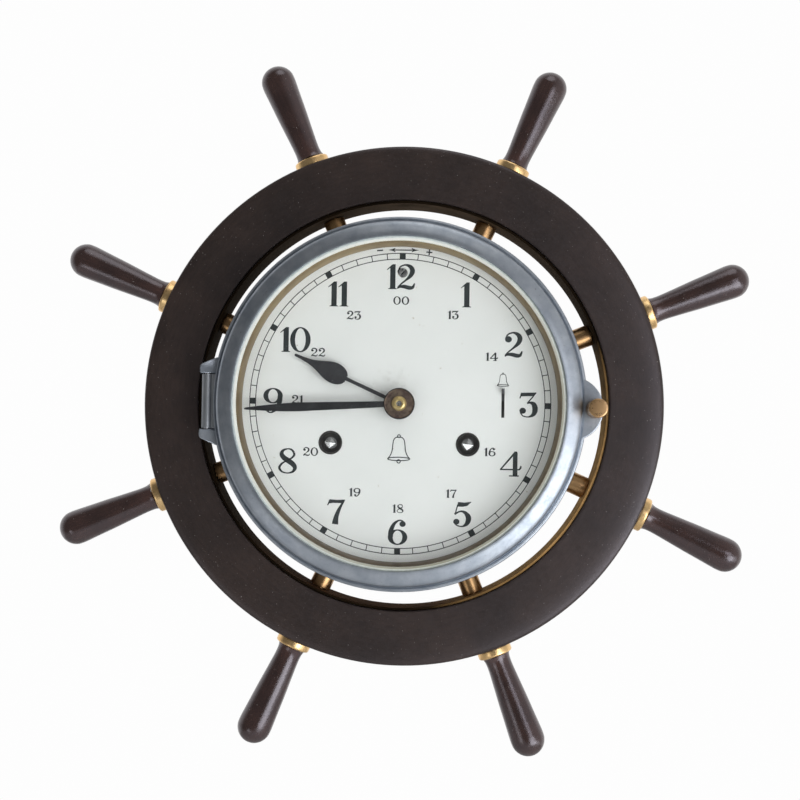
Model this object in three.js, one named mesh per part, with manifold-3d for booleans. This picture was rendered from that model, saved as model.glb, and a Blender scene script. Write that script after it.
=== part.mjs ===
// Wall clock in a ship's steering wheel, in millimetres.
// Built face up: x to the right, y towards 12 o'clock, z from the wall towards the viewer.
// The last group stands it up, so that +Z is up and the dial looks along -Y.
import * as THREE from "three";
import { mergeVertices, toCreasedNormals } from "three/addons/utils/BufferGeometryUtils.js";
import Module from "manifold-3d";

const wasm = await Module();
wasm.setup();

// Wooden wheel
const ROUND = 36;
const HANDLES = 8;
const WHEEL_OFFSET_X = 1.5;
const WHEEL_TURN_DEG = 1.4;
const RIM_OUTER_R = 120.7;
const RIM_INNER_R = 95.5;
const RIM_BACK = 22;
const RIM_FRONT = 48;
const LINER_OUTER_R = 95.2;
const LINER_INNER_R = 94.2;
const SPOKE_Z = 35;
const SPOKE_R = 5;
const STUD_R = 2.5;
const STUD_HOLE_R = 2.8;
const STUD_END = 149.5;
const FERRULE_R = 8.1;
const HANDLE_START = 125;
const HANDLE_R = 7.93;
const HANDLE_TIP = 173.3;
// The arms were fitted by hand: how far each is turned aside, and its handle's lean and extra length.
const ARM_SHIFT_DEG = [0, -0.5, -0.15, 0, 0.2, 0.3, 0.1, -0.45];
const HANDLE_LEAN_DEG = [0.2, 0.4, 1.7, -0.4, 0.2, -1.9, -1.1, -2.1];
const HANDLE_EXTRA = [-0.5, -0.4, 0.1, 1.1, 0.7, -0.6, 0, -1.1];

// Case
const COVER_T = 2.5;
const DRUM_OUTER_R = 82;
const DRUM_INNER_R = 80;
const DRUM_BACK = 2.8;
const RING_R = 85.6;
const RING_FRONT = 62;
const LEDGE_R = 74.5;
const LEDGE_FRONT = 45.7;
const KEYHOLE_Y = 58;
const KEYHOLE_R = 5;
const KEYHOLE_SLOT = 2.6;

// Bezel door
const BEZEL_BACK = 62.3;
const BEZEL_FRONT = 73;
const BEZEL_R = 83.2;
const BEZEL_LIP_R = 75.6;
const GLASS_R = 77;
const GLASS_BACK = 69;
const GLASS_EDGE = 70.1;
const GLASS_SEAT = 70.4;
const GLASS_FRONT = 72.3;
const REHAUT_R = 72.3;
const HINGE_X = -87.8;
const HINGE_Z = 62;
const HINGE_R = 2.4;
const BARREL_HALF = 12.3;
const LUG_R = 3;
const LUG_OUT = 17;
const LUG_FLARE = 3.6;
const EAR_X = 78;
const EAR_R = 14.5;
const EAR_BACK = 56;
const EAR_FRONT = 66;
const LATCH_X = 88.7;
const LATCH_Y = -1.3;
const KNOB_R = 4.3;
const KNOB_FRONT = 82;

// Dial and hands
const DIAL_R = 78.5;
const DIAL_BACK = 54;
const DIAL_FRONT = 55;
const WINDING_X = 31.5;
const WINDING_Y = -18.1;
const WINDING_HOLE_R = 5.5;
const SQUARE = 3.6;
const SQUARE_TURN = 0.2;
const REGULATOR_X = 0.7;
const REGULATOR_Y = 60.4;
const REGULATOR_SLOT_DEG = 52;
const SLOT_X = 47.4;
const SLOT_TOP = 8.1;
const SLOT_BOTTOM = -5.6;
const SLOT_HALF = 0.8;
const MINUTE_DEG = 267.2;
const HOUR_DEG = 294.5;
const MINUTE_LENGTH = 69.7;
const HOUR_LENGTH = 52.3;

// Movement
const REAR_PLATE = [24, 26];
const FRONT_PLATE = [46, 48];
const REAR_PLATE_R = 70;
const FRONT_PLATE_R = 79;
const PILLARS = [
  [-52, 34],
  [52, 34],
  [0, -62],
];
const DIAL_FEET = [
  [33, 57],
  [-66, 0],
  [33, -57],
];
const SECOND = [19.9, 13.4];
const MINUTE_WHEEL = [-12.47, 7.2];
const STAR = [-38.6, 9.8];
const HAMMER = [-56, -8];
const BALANCE = [0, 46];
const BELL = [0, -8];
const BELL_R = 40;
const TRAIN_MODULE = 16 / 15;
const MOTION_MODULE = 0.72;

// Finishes
const WOOD = { color: 0x3a2a26, roughness: 0.45, metalness: 0 };
const BRASS = { color: 0xb8893f, roughness: 0.3, metalness: 1 };
const PEWTER = { color: 0x8d949c, roughness: 0.32, metalness: 1 };
const STEEL = { color: 0xb9bcc0, roughness: 0.25, metalness: 1 };
const BLACK = { color: 0x2b2e30, roughness: 0.5, metalness: 0.2 };
const WHITE = { color: 0xe0e4e3, roughness: 0.4, metalness: 0 };
const GLASS = { color: 0xe8f2ee, roughness: 0.02, metalness: 0, transparent: true, opacity: 0.25 };
const BRONZE = { color: 0x5a4a3c, roughness: 0.45, metalness: 0.8 };

// Solids
function solidOf(geometry) {
  const plain = geometry.index ? geometry.toNonIndexed() : geometry.clone();
  plain.deleteAttribute("normal");
  plain.deleteAttribute("uv");
  const merged = mergeVertices(plain, 1e-4);
  const index = merged.index.array;
  const kept = [];
  for (let i = 0; i < index.length; i += 3) {
    const [a, b, c] = [index[i], index[i + 1], index[i + 2]];
    if (a !== b && b !== c && c !== a) kept.push(a, b, c);
  }
  const made = (triVerts) =>
    new wasm.Manifold(
      new wasm.Mesh({ numProp: 3, vertProperties: merged.attributes.position.array, triVerts }),
    );
  const solid = made(new Uint32Array(kept));
  return solid.volume() > 0 ? solid : made(new Uint32Array(kept.reverse()));
}

function place(parent, name, solid, finish) {
  const { numProp, numVert, vertProperties, triVerts } = solid.getMesh();
  const positions = new Float32Array(numVert * 3);
  for (let i = 0; i < numVert; i++) {
    positions.set(vertProperties.subarray(i * numProp, i * numProp + 3), i * 3);
  }
  const geometry = new THREE.BufferGeometry()
    .setAttribute("position", new THREE.BufferAttribute(positions, 3))
    .setIndex(new THREE.BufferAttribute(triVerts, 1));
  const mesh = new THREE.Mesh(toCreasedNormals(geometry, 0.6), new THREE.MeshStandardMaterial(finish));
  mesh.name = name;
  parent.add(mesh);
  return mesh;
}

const joined = (solids) => solids.reduce((sum, solid) => sum.add(solid));
const cut = (solid, tools) => tools.reduce((rest, tool) => rest.subtract(tool), solid);

// Turned about the y axis; a profile of [radius, height] points that is a ring closes on itself.
function spunGeometry(profile, segments) {
  const ring = profile[0][0] > 0;
  const loop = ring ? [...profile, profile[0]] : profile;
  return new THREE.LatheGeometry(
    loop.map(([r, h]) => new THREE.Vector2(r, h)),
    segments,
  );
}

const spun = (profile, segments) => solidOf(spunGeometry(profile, segments));

// The same about the clock's own axis, or about a parallel one at x, y.
function turned(profile, segments, x = 0, y = 0) {
  return solidOf(spunGeometry(profile, segments).rotateX(Math.PI / 2).translate(x, y, 0));
}

function rod(x, y, r, z0, z1, segments = 8) {
  const geometry = new THREE.CylinderGeometry(r, r, z1 - z0, segments);
  return solidOf(geometry.rotateX(Math.PI / 2).translate(x, y, (z0 + z1) / 2));
}

function box(x0, x1, y0, y1, z0, z1) {
  const geometry = new THREE.BoxGeometry(x1 - x0, y1 - y0, z1 - z0);
  return solidOf(geometry.translate((x0 + x1) / 2, (y0 + y1) / 2, (z0 + z1) / 2));
}

function plate(shape, z0, z1, curveSegments = 8) {
  const options = { depth: z1 - z0, bevelEnabled: false, curveSegments };
  return solidOf(new THREE.ExtrudeGeometry(shape, options).translate(0, 0, z0));
}

function outline(points) {
  return new THREE.Shape(points.map(([x, y]) => new THREE.Vector2(x, y)));
}

// A flat bar from one point to another.
function bar([x0, y0], [x1, y1], halfWidth, z0, z1) {
  const length = Math.hypot(x1 - x0, y1 - y0);
  const nx = (-(y1 - y0) / length) * halfWidth;
  const ny = ((x1 - x0) / length) * halfWidth;
  const corners = [
    [x0 + nx, y0 + ny],
    [x0 - nx, y0 - ny],
    [x1 - nx, y1 - ny],
    [x1 + nx, y1 + ny],
  ];
  return plate(outline(corners), z0, z1);
}

// A toothed wheel with one tooth centred on the direction turn (radians).
function gear(teeth, module, turn, [x, y], z0, z1) {
  const r = (teeth * module) / 2;
  const root = r - 1.2 * module;
  const tip = r + 0.6 * module;
  const tipHalf = (0.13 * module) / tip;
  const points = [];
  for (let i = 0; i < teeth; i++) {
    const middle = turn + (2 * Math.PI * i) / teeth;
    const around = [
      [root, middle - Math.PI / teeth],
      [tip, middle - tipHalf],
      [tip, middle + tipHalf],
    ];
    for (const [radius, angle] of around) {
      points.push([x + radius * Math.cos(angle), y + radius * Math.sin(angle)]);
    }
  }
  return plate(outline(points), z0, z1);
}

const toward = (from, to) => Math.atan2(to[1] - from[1], to[0] - from[0]);
// The turn that puts a gap of the driven wheel where the driver has its tooth.
const gapTurn = (driver, driven, teeth) => toward(driven, driver) + Math.PI / teeth;

const clock = new THREE.Group();
clock.name = "ship_wheel_clock";

// Wheel: rim, liner, then one spoke, ferrule and handle in each of eight directions
const wheel = new THREE.Group();
wheel.name = "wheel";
wheel.position.x = WHEEL_OFFSET_X;
wheel.rotation.z = -THREE.MathUtils.degToRad(WHEEL_TURN_DEG);
clock.add(wheel);

const handleAngle = (i) => {
  const even = ((i + 0.5) * 360) / HANDLES;
  return THREE.MathUtils.degToRad(even + ARM_SHIFT_DEG[i]);
};

function studHoles(r0, r1) {
  const holes = [];
  for (let i = 0; i < HANDLES; i++) {
    const hole = new THREE.CylinderGeometry(STUD_HOLE_R, STUD_HOLE_R, r1 - r0, 8);
    hole.translate(0, (r0 + r1) / 2, 0).rotateZ(-handleAngle(i)).translate(0, 0, SPOKE_Z);
    holes.push(solidOf(hole));
  }
  return holes;
}

const rimProfile = [
  [RIM_INNER_R, RIM_BACK + 0.5],
  [RIM_INNER_R + 0.5, RIM_BACK],
  [RIM_OUTER_R - 1.6, RIM_BACK],
  [RIM_OUTER_R, RIM_BACK + 1.6],
  [RIM_OUTER_R, RIM_FRONT - 1.6],
  [RIM_OUTER_R - 1.6, RIM_FRONT],
  [RIM_INNER_R + 0.5, RIM_FRONT],
  [RIM_INNER_R, RIM_FRONT - 0.5],
];
place(wheel, "wheel_rim", cut(turned(rimProfile, ROUND), studHoles(90, 126)), WOOD);

const linerProfile = [
  [LINER_INNER_R, RIM_BACK + 0.5],
  [LINER_OUTER_R, RIM_BACK + 0.5],
  [LINER_OUTER_R, RIM_FRONT - 1.3],
  [LINER_INNER_R, RIM_FRONT - 1.3],
];
place(wheel, "rim_liner", cut(turned(linerProfile, ROUND), studHoles(90, 100)), BRASS);

const domeStart = HANDLE_TIP - HANDLE_R;
const handleProfile = [
  [0, HANDLE_START],
  [6.4, HANDLE_START],
  [5.8, HANDLE_START + 3],
  [5.9, HANDLE_START + 7],
  [6.7, HANDLE_START + 18.3],
  [7.4, HANDLE_START + 29.6],
  [HANDLE_R, domeStart - 1],
  [HANDLE_R * 0.94, domeStart + HANDLE_R * 0.34],
  [HANDLE_R * 0.77, domeStart + HANDLE_R * 0.64],
  [HANDLE_R * 0.45, domeStart + HANDLE_R * 0.89],
  [0, HANDLE_TIP],
];
const handleBore = spun([
  [0, HANDLE_START - 2],
  [STUD_HOLE_R, HANDLE_START - 2],
  [STUD_HOLE_R, STUD_END + 1],
  [0, STUD_END + 1],
], 10);

// A handle that leans about its foot, and is lifted enough to stay clear of its ferrule
function handle(i) {
  const stretch = 1 + HANDLE_EXTRA[i] / (HANDLE_TIP - HANDLE_START);
  const profile = handleProfile.map(([r, y]) => [r, (y - HANDLE_START) * stretch]);
  const lift = 6.4 * Math.sin(THREE.MathUtils.degToRad(Math.abs(HANDLE_LEAN_DEG[i])));
  const leaning = spun(profile, 10).rotate([0, 0, -HANDLE_LEAN_DEG[i]]);
  return leaning.translate([0, HANDLE_START + lift, 0]).subtract(handleBore);
}
const ferruleProfile = [
  [STUD_HOLE_R, RIM_OUTER_R + 0.35],
  [FERRULE_R - 0.5, RIM_OUTER_R + 0.35],
  [FERRULE_R, RIM_OUTER_R + 1],
  [FERRULE_R, RIM_OUTER_R + 3.1],
  [FERRULE_R - 0.7, RIM_OUTER_R + 4],
  [STUD_HOLE_R, RIM_OUTER_R + 4],
];

for (let i = 0; i < HANDLES; i++) {
  const direction = handleAngle(i);
  // The case sits a little to the left of the wheel's centre, so the spokes differ in length.
  const aside = Math.sin(direction + THREE.MathUtils.degToRad(WHEEL_TURN_DEG));
  const start = DRUM_OUTER_R + 0.4 - WHEEL_OFFSET_X * aside;
  const spokeProfile = [
    [0, start - 6],
    [STUD_R, start - 6],
    [STUD_R, start],
    [SPOKE_R, start],
    [SPOKE_R, LINER_INNER_R - 0.6],
    [STUD_R, LINER_INNER_R - 0.6],
    [STUD_R, STUD_END],
    [0, STUD_END],
  ];
  const arm = new THREE.Group();
  arm.name = "arm_" + (i + 1);
  arm.position.z = SPOKE_Z;
  arm.rotation.z = -direction;
  wheel.add(arm);
  place(arm, "spoke_" + (i + 1), spun(spokeProfile, 8), BRASS);
  place(arm, "ferrule_" + (i + 1), spun(ferruleProfile, 10), BRASS);
  place(arm, "handle_" + (i + 1), handle(i), WOOD);
}

// Case: drum with its front ring, hinge lugs and latch ear
const casing = new THREE.Group();
casing.name = "case";
clock.add(casing);

const drumProfile = [
  [DRUM_INNER_R, DRUM_BACK],
  [DRUM_OUTER_R, DRUM_BACK],
  [DRUM_OUTER_R, 54],
  [RING_R - 0.6, 55],
  [RING_R, 56],
  [RING_R, RING_FRONT - 1.2],
  [RING_R - 0.9, RING_FRONT],
  [DRUM_INNER_R, RING_FRONT],
  [DRUM_INNER_R, LEDGE_FRONT],
  [LEDGE_R, LEDGE_FRONT],
  [LEDGE_R, LEDGE_FRONT - 2.7],
  [DRUM_INNER_R, LEDGE_FRONT - 2.7],
];

// A cylinder along y on the hinge axis.
function hingeRod(r, y0, y1) {
  const geometry = new THREE.CylinderGeometry(r, r, y1 - y0, 12);
  return solidOf(geometry.translate(HINGE_X, (y0 + y1) / 2, HINGE_Z));
}

// A case lug, flared towards the ring; side is 1 above the barrel and -1 below it.
function hingeLug(side) {
  const inner = side * (BARREL_HALF + 0.4);
  const outer = side * LUG_OUT;
  const taper = outline([
    [-82, inner],
    [HINGE_X, inner],
    [HINGE_X, outer],
    [-82, outer + side * LUG_FLARE],
  ]);
  const knuckle = hingeRod(LUG_R, Math.min(inner, outer), Math.max(inner, outer));
  return knuckle.add(plate(taper, EAR_BACK, RING_FRONT));
}

const drumStuds = studHoles(74, 88).map((hole) =>
  hole.rotate([0, 0, -WHEEL_TURN_DEG]).translate([WHEEL_OFFSET_X, 0, 0]),
);
const hingeBore = hingeRod(1.4, -LUG_OUT - 1, LUG_OUT + 1);
const outsideRing = rod(0, 0, DRUM_INNER_R + 1, 0, 90, ROUND);
const caseEar = rod(EAR_X, LATCH_Y, EAR_R, EAR_BACK, RING_FRONT, 32).subtract(outsideRing);
const drumBody = joined([
  turned(drumProfile, ROUND),
  hingeLug(1),
  hingeLug(-1),
  caseEar,
]);
const latchBore = rod(LATCH_X, LATCH_Y, 2.6, 50, 70);
place(casing, "case_drum", cut(drumBody, [...drumStuds, hingeBore, latchBore]), PEWTER);
place(casing, "hinge_pin", hingeRod(1.1, -LUG_OUT - 0.9, LUG_OUT + 0.9), BRASS);

// Back cover with its keyhole, and the three screws that draw it on
const keyhole = [
  rod(0, KEYHOLE_Y, KEYHOLE_R, -1, 5, 16),
  box(-KEYHOLE_SLOT, KEYHOLE_SLOT, KEYHOLE_Y, KEYHOLE_Y + 9, -1, 5),
  rod(0, KEYHOLE_Y + 9, KEYHOLE_SLOT, -1, 5, 12),
];
const screwHoles = PILLARS.flatMap(([x, y]) => [rod(x, y, 1.9, -1, 5), rod(x, y, 3.5, -1, 1.5, 12)]);
const coverProfile = [
  [0, 0],
  [DRUM_OUTER_R - 1, 0],
  [DRUM_OUTER_R, 1],
  [DRUM_OUTER_R, COVER_T],
  [0, COVER_T],
];
place(casing, "back_cover", cut(turned(coverProfile, ROUND), [...keyhole, ...screwHoles]), PEWTER);
PILLARS.forEach(([x, y], i) => {
  const screw = rod(x, y, 3.1, 0.1, 1.2, 14).add(rod(x, y, 1.5, 1.1, 9, 8));
  const slot = box(x - 4, x + 4, y - 0.45, y + 0.45, -1, 0.7);
  place(casing, "back_screw_" + (i + 1), screw.subtract(slot), STEEL);
});

// Bezel door: bezel, bevelled glass, the ring behind it, and the captive thumb screw
const door = new THREE.Group();
door.name = "bezel_door";
clock.add(door);

const bezelProfile = [
  [77.4, BEZEL_BACK],
  [BEZEL_R, BEZEL_BACK],
  [BEZEL_R, 69.2],
  [BEZEL_R - 0.5, 69.8],
  [BEZEL_R - 2.6, 71],
  [BEZEL_R - 4.2, 71.9],
  [BEZEL_R - 5.8, 72.6],
  [BEZEL_LIP_R + 0.4, BEZEL_FRONT],
  [BEZEL_LIP_R, BEZEL_FRONT - 0.1],
  [BEZEL_LIP_R, GLASS_SEAT],
  [77.4, GLASS_SEAT],
];
const barrelWeb = box(HINGE_X, -80, -BARREL_HALF, BARREL_HALF, BEZEL_BACK + 0.1, HINGE_Z + 1.4);
const insideBezel = rod(0, 0, 80, 50, 90, ROUND);
const bezelEar = rod(EAR_X, LATCH_Y, EAR_R, BEZEL_BACK, EAR_FRONT, 32);
const clipPocket = rod(LATCH_X, LATCH_Y, 3.7, BEZEL_BACK - 2, BEZEL_BACK + 2.6, 20);
const bezelBody = joined([
  turned(bezelProfile, ROUND),
  hingeRod(HINGE_R, -BARREL_HALF, BARREL_HALF),
  barrelWeb.subtract(insideBezel),
  bezelEar.subtract(insideBezel),
]);
place(door, "bezel", cut(bezelBody, [hingeBore, latchBore, clipPocket]), PEWTER);

const glassProfile = [
  [0, GLASS_BACK],
  [GLASS_R, GLASS_BACK],
  [GLASS_R, GLASS_EDGE],
  [BEZEL_LIP_R, GLASS_EDGE],
  [74.7, 71.9],
  [73.4, GLASS_FRONT],
  [0, GLASS_FRONT],
];
place(door, "glass", turned(glassProfile, ROUND), GLASS);

const rehautProfile = [
  [REHAUT_R, 56],
  [74.6, 56],
  [74.6, 63],
  [GLASS_R, 64],
  [GLASS_R, GLASS_BACK - 0.3],
  [75.3, GLASS_BACK - 0.3],
  [REHAUT_R + 0.8, 65],
];
place(door, "glass_ring", turned(rehautProfile, ROUND), BRASS);

const knobProfile = [
  [0, 60.4],
  [1.6, 60.4],
  [2, 60.9],
  [2, EAR_FRONT + 0.4],
  [KNOB_R - 0.4, EAR_FRONT + 0.4],
  [KNOB_R, EAR_FRONT + 0.9],
  [KNOB_R, KNOB_FRONT - 0.6],
  [KNOB_R - 0.5, KNOB_FRONT],
  [0, KNOB_FRONT],
];
place(door, "thumb_screw", turned(knobProfile, 20, LATCH_X, LATCH_Y), BRASS);
const clipProfile = [
  [2.3, BEZEL_BACK + 0.2],
  [3.3, BEZEL_BACK + 0.2],
  [3.3, BEZEL_BACK + 0.7],
  [2.3, BEZEL_BACK + 0.7],
];
place(door, "screw_clip", turned(clipProfile, 16, LATCH_X, LATCH_Y), STEEL);

// Dial with its feet
const works = new THREE.Group();
works.name = "movement";
clock.add(works);

const windings = [
  [WINDING_X, WINDING_Y],
  [-WINDING_X, WINDING_Y],
];
const dialHoles = [
  rod(0, 0, 4, 50, 60, 16),
  ...windings.map(([x, y]) => rod(x, y, WINDING_HOLE_R, 50, 60, 16)),
  rod(REGULATOR_X, REGULATOR_Y, 2.2, 50, 60, 12),
  box(SLOT_X - SLOT_HALF, SLOT_X + SLOT_HALF, SLOT_BOTTOM, SLOT_TOP, 50, 60),
];
const dialPlate = cut(rod(0, 0, DIAL_R, DIAL_BACK, DIAL_FRONT, ROUND), dialHoles);
const dialFeet = DIAL_FEET.map(([x, y]) => rod(x, y, 1.8, FRONT_PLATE[0] - 1, DIAL_BACK + 0.5, 12));
place(works, "dial", joined([dialPlate, ...dialFeet]), WHITE);

// Slotted regulator behind 12 o'clock, and the strike lever beside 3 o'clock
const regulatorSlot = box(-3, 3, -0.3, 0.3, DIAL_FRONT + 0.1, 60)
  .rotate([0, 0, REGULATOR_SLOT_DEG])
  .translate([REGULATOR_X, REGULATOR_Y, 0]);
const regulator = joined([
  rod(REGULATOR_X, REGULATOR_Y, 1.5, 30, DIAL_FRONT, 14),
  rod(REGULATOR_X, REGULATOR_Y, 1.85, DIAL_FRONT - 0.6, DIAL_FRONT + 0.7, 20),
  bar([REGULATOR_X, REGULATOR_Y], [REGULATOR_X, REGULATOR_Y - 5], 0.8, 30.5, 32),
]);
place(works, "regulator_arbor", regulator.subtract(regulatorSlot), STEEL);

const leverStem = box(SLOT_X - 0.45, SLOT_X + 0.45, SLOT_TOP - 2.7, SLOT_TOP - 0.4, 52.5, DIAL_FRONT + 3.4);
const leverSlide = box(SLOT_X - 3, SLOT_X + 3, SLOT_TOP - 6, SLOT_TOP + 3, 52.4, 53.4);
place(works, "strike_lever", leverStem.add(leverSlide), STEEL);

// Hands, cut along 12 o'clock and turned to the time shown
function handShape(half) {
  const right = half.map(([w, y]) => [w, y]);
  const left = half.map(([w, y]) => [-w, y]).reverse();
  return outline([...right, ...left]);
}

const hourShape = handShape([
  [0.85, 3],
  [0.85, 26.2],
  [3.1, 27.2],
  [4.7, 29.6],
  [5.15, 32.7],
  [4.4, 36.2],
  [2.7, 40.2],
  [1.4, 44],
  [0.85, 48],
  [0.6, HOUR_LENGTH - 0.4],
  [0.3, HOUR_LENGTH],
]);
const minuteShape = handShape([
  [1.25, 3],
  [1.9, 38],
  [2.02, 46],
  [1.75, 54],
  [1.05, 63],
  [0.4, MINUTE_LENGTH - 0.5],
  [0.2, MINUTE_LENGTH],
]);
const hands = new THREE.Group();
hands.name = "hands";
clock.add(hands);
const hourHand = cut(plate(hourShape, 57.5, 58.4).add(rod(0, 0, 5.4, 57.5, 58.9, 28)), [
  rod(0, 0, 3.6, 50, 65, 20),
]);
const minuteHand = cut(plate(minuteShape, 60.3, 61.2).add(rod(0, 0, 5.4, 60.3, 61.2, 28)), [
  rod(0, 0, 2.2, 50, 65, 16),
]);
place(hands, "hour_hand", hourHand, BLACK).rotation.z = -THREE.MathUtils.degToRad(HOUR_DEG);
place(hands, "minute_hand", minuteHand, BLACK).rotation.z = -THREE.MathUtils.degToRad(MINUTE_DEG);
const colletProfile = [
  [2.2, 61.5],
  [7.15, 61.5],
  [7.15, 62.3],
  [6.7, 62.7],
  [2.2, 62.7],
];
place(hands, "hand_collet", turned(colletProfile, 24), BRONZE);
const nutProfile = [
  [2.2, 63],
  [3.35, 63],
  [3.35, 64.2],
  [2.6, 65],
  [0.8, 65],
  [0.8, 64.4],
  [2.2, 64.4],
];
place(hands, "hand_nut", turned(nutProfile, 16), BRASS);

// Plates and pillars
const pivotHole = ([x, y], r) => rod(x, y, r, 20, 50);
const frontHoles = [
  pivotHole([0, 0], 2.4),
  ...windings.map((at) => pivotHole(at, 2.9)),
  pivotHole([REGULATOR_X, REGULATOR_Y], 1.9),
  pivotHole(SECOND, 1.3),
  pivotHole(STAR, 1.3),
  pivotHole(HAMMER, 1.7),
  pivotHole(MINUTE_WHEEL, 1.3),
  ...PILLARS.map((at) => pivotHole(at, 2.4)),
  ...DIAL_FEET.map((at) => pivotHole(at, 2.2)),
];
place(works, "front_plate", cut(rod(0, 0, FRONT_PLATE_R, ...FRONT_PLATE, ROUND), frontHoles), BRASS);
const pillars = PILLARS.flatMap(([x, y]) => [
  rod(x, y, 3.5, COVER_T + 0.4, FRONT_PLATE[0] - 0.3),
  rod(x, y, 2, 40, FRONT_PLATE[1] - 0.2),
]);
const rearHoles = [
  pivotHole([0, 0], 1.3),
  ...windings.map((at) => pivotHole(at, 2)),
  pivotHole(SECOND, 1.3),
  pivotHole(STAR, 1.3),
  pivotHole(HAMMER, 1.7),
  pivotHole(BELL, 2.3),
  pivotHole(BALANCE, 1.3),
  ...PILLARS.map(([x, y]) => rod(x, y, 1.8, 0, 11, 12)),
];
const rearBody = joined([rod(0, 0, REAR_PLATE_R, ...REAR_PLATE, 32), ...pillars]);
place(works, "rear_plate", cut(rearBody, rearHoles), BRASS);

// Going train: barrel, second wheel, centre arbor
const TIME = windings[0];
const STRIKE = windings[1];
function barrel(at, teeth, turn, drumRadius) {
  const bore = rod(at[0], at[1], 2.8, 20, 50);
  const drum = rod(at[0], at[1], drumRadius, 30, 40.5, 28);
  return gear(teeth, TRAIN_MODULE, turn, at, 28, 30.5).add(drum).subtract(bore);
}
// A square post with its end drawn in, turned a little as the last winding left it.
function windingSquare(z0, z1, endHalf) {
  const half = SQUARE / 2;
  const post = new THREE.CylinderGeometry(Math.SQRT2 * endHalf, Math.SQRT2 * half, z1 - z0, 4);
  post.rotateY(Math.PI / 4 + SQUARE_TURN);
  return solidOf(post.rotateX(Math.PI / 2).translate(0, 0, (z0 + z1) / 2));
}
function windingArbor([x, y]) {
  const square = windingSquare(50, DIAL_FRONT + 1.1, SQUARE / 2);
  const end = windingSquare(DIAL_FRONT + 1.1, DIAL_FRONT + 2, SQUARE / 2 - 0.7);
  return joined([
    rod(x, y, 1.6, 24.3, 30, 12),
    rod(x, y, 2.4, 27, 51, 14),
    gear(12, 1.2, 0, [x, y], 48.5, 50),
    square.add(end).translate([x, y, 0]),
  ]);
}
place(works, "time_barrel", barrel(TIME, 54, gapTurn(SECOND, TIME, 54), 24), BRASS);
place(works, "time_winding_arbor", windingArbor(TIME), STEEL);
place(works, "strike_barrel", barrel(STRIKE, 45, gapTurn(STAR, STRIKE, 45), 19), BRASS);
place(works, "strike_winding_arbor", windingArbor(STRIKE), STEEL);
const secondWheel = joined([
  gear(9, TRAIN_MODULE, toward(SECOND, TIME), SECOND, 27.4, 31),
  gear(36, TRAIN_MODULE, gapTurn([0, 0], SECOND, 36), SECOND, 42, 43.6),
  rod(...SECOND, 0.9, 24.3, 47.6, 10),
  rod(...SECOND, 1.8, 27, 45, 12),
]);
place(works, "second_wheel", secondWheel, BRASS);

// Motion work under the dial
const centreArbor = joined([
  rod(0, 0, 0.9, 24.3, 30, 10),
  rod(0, 0, 1.9, 27, 63.9, 14),
  gear(9, TRAIN_MODULE, toward([0, 0], SECOND), [0, 0], 41, 44.6),
  gear(10, MOTION_MODULE, toward([0, 0], MINUTE_WHEEL), [0, 0], 48.5, 50.3),
]);
place(works, "centre_arbor", centreArbor, STEEL);
const minuteWheel = joined([
  gear(30, MOTION_MODULE, gapTurn([0, 0], MINUTE_WHEEL, 30), MINUTE_WHEEL, 48.6, 50),
  gear(8, MOTION_MODULE, toward(MINUTE_WHEEL, [0, 0]), MINUTE_WHEEL, 49.5, 52.6),
  rod(...MINUTE_WHEEL, 0.9, 46.2, 50, 10),
]);
place(works, "minute_wheel", minuteWheel, BRASS);
const hourWheel = joined([
  gear(32, MOTION_MODULE, gapTurn(MINUTE_WHEEL, [0, 0], 32), [0, 0], 50.9, 52.3),
  rod(0, 0, 3.2, 50.9, 59.4, 18),
]).subtract(rod(0, 0, 2.3, 40, 70, 16));
place(works, "hour_wheel", hourWheel, BRASS);

// Escapement platform with its balance
const platform = cut(
  joined([
    box(-13, 13, 36, 55.5, 26.4, 28.4),
    box(10.5, 13, 42, 50, 28, 40),
    bar([11, 46], [0, 46], 2.2, 38.2, 40),
    rod(0, 46, 2.8, 38.2, 40),
  ]),
  [rod(...BALANCE, 1.2, 20, 50, 12)],
);
place(works, "platform", platform, BRASS);
const balanceProfile = [
  [7.6, 33.8],
  [9, 33.8],
  [9, 35.4],
  [7.6, 35.4],
];
const balance = joined([
  turned(balanceProfile, 24, ...BALANCE),
  bar([-8, 46], [8, 46], 0.9, 34.1, 35.1),
  rod(...BALANCE, 0.8, 26.6, 39.8, 10),
]);
place(works, "balance_wheel", balance, BRASS);

// Strike side: star wheel, hammer, bell and its post
const star = joined([
  gear(9, TRAIN_MODULE, toward(STAR, STRIKE), STAR, 27.4, 31),
  gear(8, 2.6, 0, STAR, 42, 43.6),
  rod(...STAR, 0.9, 24.3, 47.6, 10),
  rod(...STAR, 1.8, 27, 45, 12),
]);
place(works, "star_wheel", star, BRASS);
const HAMMER_HEAD = [-39, 14.5];
const hammer = joined([
  rod(...HAMMER, 1.3, 14, 47.6, 12),
  rod(...HAMMER, 2.6, 14.5, 17.5),
  bar(HAMMER, HAMMER_HEAD, 1.3, 15, 17),
  rod(...HAMMER_HEAD, 4, 13.5, 18.5),
  bar(HAMMER, [-48.7, -0.5], 1.1, 42, 43.6),
]);
place(works, "hammer", hammer, STEEL);
const bellProfile = [
  [2.3, 6],
  [14, 6.6],
  [26, 8.8],
  [35, 13],
  [BELL_R, 19.6],
  [BELL_R - 2, 19.9],
  [33.2, 14.6],
  [25, 10.8],
  [13.6, 8.6],
  [2.3, 8],
];
place(works, "bell", turned(bellProfile, 28, ...BELL), BRASS);
const bellPost = joined([
  rod(...BELL, 3.6, 3.6, 5.7),
  rod(...BELL, 1.9, 4, 25.8, 14),
  rod(...BELL, 3.2, 8.3, 23.7),
]);
place(works, "bell_post", bellPost, STEEL);

clock.rotation.x = Math.PI / 2;

export default clock;
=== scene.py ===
"""Ship wheel clock: the looks.

Lengths are in millimetres in the face frame: x to the right, y to 12, z to the viewer.
"""
import math

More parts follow.
